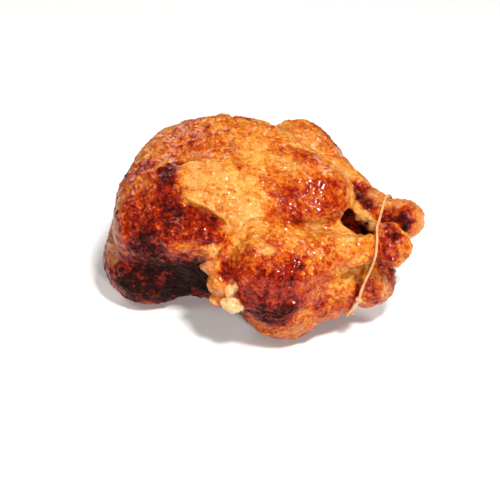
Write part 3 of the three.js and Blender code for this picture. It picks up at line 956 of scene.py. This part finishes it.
def skin_finish():
    """Oily roast skin: golden, redder and darker the more it is browned, darker still where shade is
    painted, with pale fat in its folds and wrinkle crests painted paler as highlight.
    """
    f = Finish("roast_skin")
    place = f.place()
    drawn_out = f.add("ShaderNodeVectorMath", {"operation": "MULTIPLY"}, {0: place, 1: (0.45, 1.0, 0.8)})
    streaks = f.noise(place, STREAK_SCALE, 6, 0.7, 1.6) - 0.5
    mottle = f.noise(place, MOTTLE_SCALE, 5, 0.62, 0.8) - 0.5
    flecks = f.noise(place, FLECK_SCALE, 4, 0.68, 0.6) - 0.5
    wrinkles = 1 - f.noise(drawn_out, WRINKLE_SCALE, 2, 0.6, 1.2).from_middle() * 7
    creases = 1 - f.noise(place, CREASE_SCALE, 1.5, 0.6, 1.8).from_middle() * 7
    pores = f.noise(place, PORE_SCALE, 2, 0.6, 0.5) - 0.5
    raised = f.stored("raised") - 0.5

    # the stored level holds browning and painted shade
    level = f.stored("roasted") + streaks * 0.55 + mottle * 0.9 + flecks * 1.25
    # paler along the wrinkles' crests: a painted highlight
    level = level + f.stored("blistered") * 0.28 + raised * 0.16 - (wrinkles - 0.4) * 0.07
    colour = f.add("ShaderNodeValToRGB", {"stops": ROAST_COLOURS}, {"Fac": level.clipped()})

    # fat patches, and paler along the wrinkles' crests as painted highlight
    fatty = f.between(f.stored("fatty") + mottle * 1.2 + (wrinkles - 0.4) * 0.3, 0.3, 0.9)
    colour = f.mixed(fatty * 0.85, colour, f.mixed(f.between(flecks, -0.12, 0.15), FAT, CREAM))
    pale = f.between(f.stored("pale") + mottle * 1.6, 0.3, 0.9)
    colour = f.mixed(pale * 0.8, colour, f.mixed(f.between(flecks, -0.1, 0.15), PINK_TAN, GOLD_LIGHT))
    tan = f.between(f.stored("tan") + mottle * 1.2, 0.3, 0.7)
    colour = f.mixed(tan * 0.95, colour, f.mixed(f.between(flecks + mottle, -0.15, 0.15), AMBER, FLESH_TAN))
    gristle = f.between(f.stored("gristle") + flecks * 0.8, 0.3, 0.6)
    colour = f.mixed(gristle, colour, f.mixed(f.between(mottle, -0.1, 0.15), GRISTLE_WHITE, FAT))

    bump = f.add("ShaderNodeBump", None, {
        "Strength": 1.0, "Distance": 0.0006, "Height": wrinkles * 0.9 + creases * 0.8 + pores * 0.9})
    burnt = f.between(level, *BURNT)
    return f.surface({
        "Base Color": colour, "Normal": bump,
        "Roughness": 0.36 + 0.5 * flecks + 0.2 * burnt, "Coat Weight": 0.62 - 0.52 * burnt}, {
        "Specular IOR Level": 0.08, "IOR": 1.35, "Coat Roughness": 0.07, "Coat IOR": 1.34,
        "Subsurface Weight": 0.06, "Subsurface Radius": (1.0, 0.30, 0.10), "Subsurface Scale": 0.002})


STRING_TAN = (0.60, 0.29, 0.11)
STRING_STAIN = (0.42, 0.13, 0.035)
# pale fibres, which also serve as a painted highlight on the raised fibres
STRING_FIBRE_AND_HIGHLIGHT = (0.80, 0.50, 0.26)
FIBRE_SCALE, STAIN_SCALE = 2600, 160
FLOOR_COLOUR = (0.84, 0.84, 0.83)


def string_finish():
    f = Finish("stained_string")
    place = f.place()
    fibre = f.noise(place, FIBRE_SCALE, 2, 0.6)
    stain = f.noise(place, STAIN_SCALE, 3, 0.6)
    colour = f.mixed(f.between(stain, 0.35, 0.7), STRING_TAN, STRING_STAIN)
    # paler on the raised fibres: pale fibre colour and a painted highlight
    colour = f.mixed(f.between(fibre, 0.45, 0.8), colour, STRING_FIBRE_AND_HIGHLIGHT)
    bump = f.add("ShaderNodeBump", None, {"Strength": 0.6, "Distance": 0.0002, "Height": fibre})
    return f.surface({"Base Color": colour, "Normal": bump}, {
        "Roughness": 0.55, "Coat Weight": 0.3, "Coat Roughness": 0.3})


def floor_finish():
    f = Finish("pale_floor")
    return f.surface({}, {"Base Color": (*FLOOR_COLOUR, 1), "Roughness": 0.7})


# ---------- the string ----------

STRING_RADIUS = 0.9
STRING_CLEARANCE = 1.1
STRING_STEPS = 240
STRING_TIGHTENING = 420
STRANDS = 3
STRAND_RADIUS = 0.43
STRAND_PITCH = 4.2
STRAND_SIDES = 7
STRAND_TIP = 0.15           # how thin a strand ends, beside its radius
END_STEPS = 30
KNOT_STEPS = 60
KNOT_RADIUS = 2.2
KNOT_WAVE = 0.25            # how far the knot's loops rise and fall, beside their radius
KNOT_TURNS = [(20, 10, 0), (70, -30, 40), (-50, 60, 0)]     # how each of the knot's loops is tilted
ACROSS = (0.3, 0.2, 1.0)    # any direction that the string doesn't start along


def pulled_tight(loop):
    """The loop drawn tight, each point kept clear of the skin, with the knot held where it is."""
    knot = loop[0].copy()
    for _ in range(STRING_TIGHTENING):
        loop = 0.5 * loop + 0.25 * (np.roll(loop, 1, 0) + np.roll(loop, -1, 0))
        loop[0] = knot
        touching = bird(loop) < STRING_CLEARANCE
        if touching.any():
            loop[touching] = move_to_level(bird, loop[touching], STRING_CLEARANCE, 2)
    return loop


def frames(line, closed):
    """Two directions across the line at each point, turned as little as possible from point to point."""
    ahead = np.roll(line, -1, 0) - np.roll(line, 1, 0)
    if not closed:
        ahead[0], ahead[-1] = line[1] - line[0], line[-1] - line[-2]
    ahead /= np.linalg.norm(ahead, axis=1)[:, None]
    side = np.cross(ahead[0], ACROSS)
    sides = []
    for direction in ahead:
        side = side - direction * (side @ direction)
        side = side / np.linalg.norm(side)
        sides.append(side)
    sides = np.array(sides)
    return sides, np.cross(ahead, sides)


def tube(line, radius, closed, count=STRAND_SIDES):
    """Vertices and faces of a round tube about a line. An open tube tapers to a point at its ends."""
    across, up = frames(line, closed)
    angles = np.linspace(0, 2 * math.pi, count, endpoint=False)
    radii = np.full(len(line), float(radius))
    if not closed:
        radii[0] = radii[-1] = radius * STRAND_TIP
    ring = (np.cos(angles)[None, :, None] * across[:, None] + np.sin(angles)[None, :, None] * up[:, None])
    points = (line[:, None] + ring * radii[:, None, None]).reshape(-1, 3)
    rows = len(line) if closed else len(line) - 1
    i, j = np.meshgrid(np.arange(rows), np.arange(count), indexing="ij")
    after, beside = (i + 1) % len(line), (j + 1) % count
    faces = np.stack([i * count + j, i * count + beside, after * count + beside, after * count + j], -1)
    return points, faces.reshape(-1, 4)


def twisted(line, closed, phase=0.0):
    """The strands of a string whose middle follows the line."""
    across, up = frames(line, closed)
    gaps = np.linalg.norm(np.diff(line, axis=0), axis=1)
    run = np.concatenate([[0], np.cumsum(gaps)])
    if closed:
        whole = run[-1] + np.linalg.norm(line[0] - line[-1])
        pitch = whole / round(whole / STRAND_PITCH)
    else:
        pitch = STRAND_PITCH
    made = []
    for strand in range(STRANDS):
        angle = phase + 2 * math.pi * (run / pitch + strand / STRANDS)
        offset = np.cos(angle)[:, None] * across + np.sin(angle)[:, None] * up
        made.append(tube(line + offset * STRAND_RADIUS, STRAND_RADIUS, closed))
    return made


def gathered(pieces):
    points, faces, start = [], [], 0
    for some_points, some_faces in pieces:
        points.append(some_points)
        faces.append(some_faces + start)
        start += len(some_points)
    return np.concatenate(points), np.concatenate(faces)


def tie(material):
    loop = pulled_tight(smooth_line(laid(STRING_ROUTE), STRING_STEPS, closed=True))
    knot = loop[0]
    pieces = twisted(loop, closed=True)
    for k, end in enumerate(STRING_ENDS):
        line = smooth_line(np.concatenate([knot[None], laid(end)[1:]]), END_STEPS, closed=False)
        low = bird(line) < STRING_CLEARANCE
        line[low] = move_to_level(bird, line[low], STRING_CLEARANCE, 3)
        pieces += twisted(line, closed=False, phase=k)
    turns = np.linspace(0, 2 * math.pi, KNOT_STEPS, endpoint=False)
    for tilt in KNOT_TURNS:
        ring = np.stack([np.cos(turns), np.sin(turns), KNOT_WAVE * np.sin(2 * turns)], 1)
        ring = ring * (KNOT_RADIUS - STRING_RADIUS)
        pieces += twisted(knot + ring @ turned(tilt), closed=True)
    points, faces = gathered(pieces)
    return as_object("leg_string_twine", points * MM, faces, material)


# ---------- the studio ----------

VIEW_AZIMUTH, VIEW_ELEVATION = math.radians(20), math.radians(32)
VIEW_TARGET = Vector((-9.6, 3.3, 27.1)) * MM
VIEW_DISTANCE = 0.8
VIEW_WIDTH = 0.310         # how wide a stretch the picture takes in at the target


def camera():
    back = Vector((math.sin(VIEW_AZIMUTH) * math.cos(VIEW_ELEVATION),
                   -math.cos(VIEW_AZIMUTH) * math.cos(VIEW_ELEVATION), math.sin(VIEW_ELEVATION)))
    data = bpy.data.cameras.new("camera")
    data.sensor_width = 36
    data.lens = data.sensor_width * VIEW_DISTANCE / VIEW_WIDTH
    data.clip_start, data.clip_end = 0.01, 20
    made = bpy.data.objects.new("camera", data)
    bpy.context.scene.collection.objects.link(made)
    made.location = VIEW_TARGET + back * VIEW_DISTANCE
    made.rotation_euler = (-back).to_track_quat("-Z", "Y").to_euler()
    bpy.context.scene.camera = made


def light(name, azimuth, elevation, distance, size, power, colour):
    a, e = math.radians(azimuth), math.radians(elevation)
    towards = Vector((math.sin(a) * math.cos(e), -math.cos(a) * math.cos(e), math.sin(e)))
    data = bpy.data.lights.new(name, "AREA")
    data.shape, data.size, data.energy, data.color = "DISK", size, power, colour
    made = bpy.data.objects.new(name, data)
    bpy.context.scene.collection.objects.link(made)
    made.location = LIT_PLACE + towards * distance
    made.rotation_euler = (-towards).to_track_quat("-Z", "Y").to_euler()


# Name, azimuth and elevation in degrees, distance and size in metres, power in watts, colour.
LIGHTS = [
    ("key", 40, 58, 0.9, 0.13, 9.6, (1.0, 0.97, 0.93)),
    ("front", 34, 20, 1.0, 0.12, 7.0, (1.0, 0.98, 0.95)),
    ("fill", -35, 50, 1.1, 0.3, 2.6, (1.0, 0.98, 0.96)),
    ("rim", 150, 50, 1.0, 0.4, 4.2, (1, 1, 1)),
    ("back", -125, 35, 1.1, 0.5, 3.4, (1, 1, 1)),
]
LIT_PLACE = Vector((0, 0, 0.04))
ROOM_LIGHT = 0.08
FLOOR_SIZE = 6


def studio():
    for values in LIGHTS:
        light(*values)
    world = bpy.data.worlds.new("pale_room")
    world.use_nodes = True
    world.node_tree.nodes["Background"].inputs["Color"].default_value = (1, 1, 1, 1)
    world.node_tree.nodes["Background"].inputs["Strength"].default_value = ROOM_LIGHT
    bpy.context.scene.world = world
    bpy.context.scene.view_settings.view_transform = "Standard"
    bpy.ops.mesh.primitive_plane_add(size=FLOOR_SIZE, location=(0, 0, 0))
    floor = bpy.context.object
    floor.name = "floor"
    floor.data.materials.append(floor_finish())


camera()
studio()

chicken = roast(skin_finish())
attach(chicken, "root")
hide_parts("chicken")

string = tie(string_finish())
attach(string, "root")
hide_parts("leg_string")
